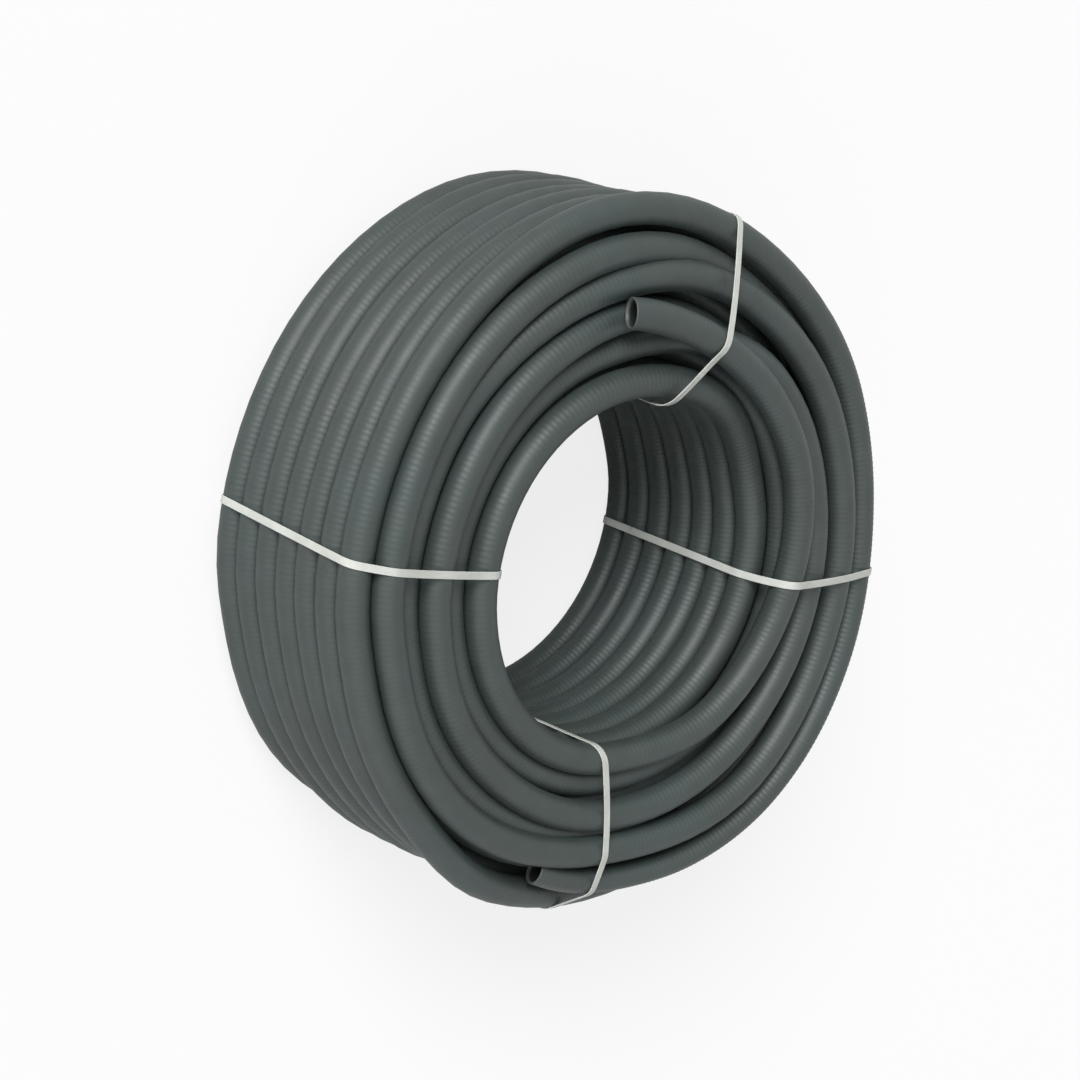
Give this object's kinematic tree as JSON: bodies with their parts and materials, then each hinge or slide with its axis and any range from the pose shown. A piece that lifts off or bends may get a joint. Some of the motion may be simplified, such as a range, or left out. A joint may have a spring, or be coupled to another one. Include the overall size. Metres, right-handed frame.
{
  "type": "coil of flexible conduit",
  "caption": "Flexible spiral conduit wound into a tight multi-layer coil, lying on its back, with both cut ends open on the front face and flat plastic straps tied round it.",
  "frame": {"origin": "on the coil's axis, in the middle of the underside of the whole part's box, on the floor that the coil lies on", "axes": "+Z up along the coil's axis, from the back face that it lies on to the front face, which shows both open ends; +Y towards the mouth of the inner end; +X to the right as seen from the front with +Y up"},
  "size_m": [0.459, 0.459, 0.1937],
  "materials": {
    "conduit": "satin, finely ribbed across its length",
    "strap": "embossed polypropylene band"
  },
  "bodies": {
    "root": {"coil": "conduit", "inner_end": "conduit", "outer_end": "conduit", "strap_left": "strap", "strap_right": "strap", "strap_top": "strap", "strap_bottom": "strap"}
  },
  "joints": []
}
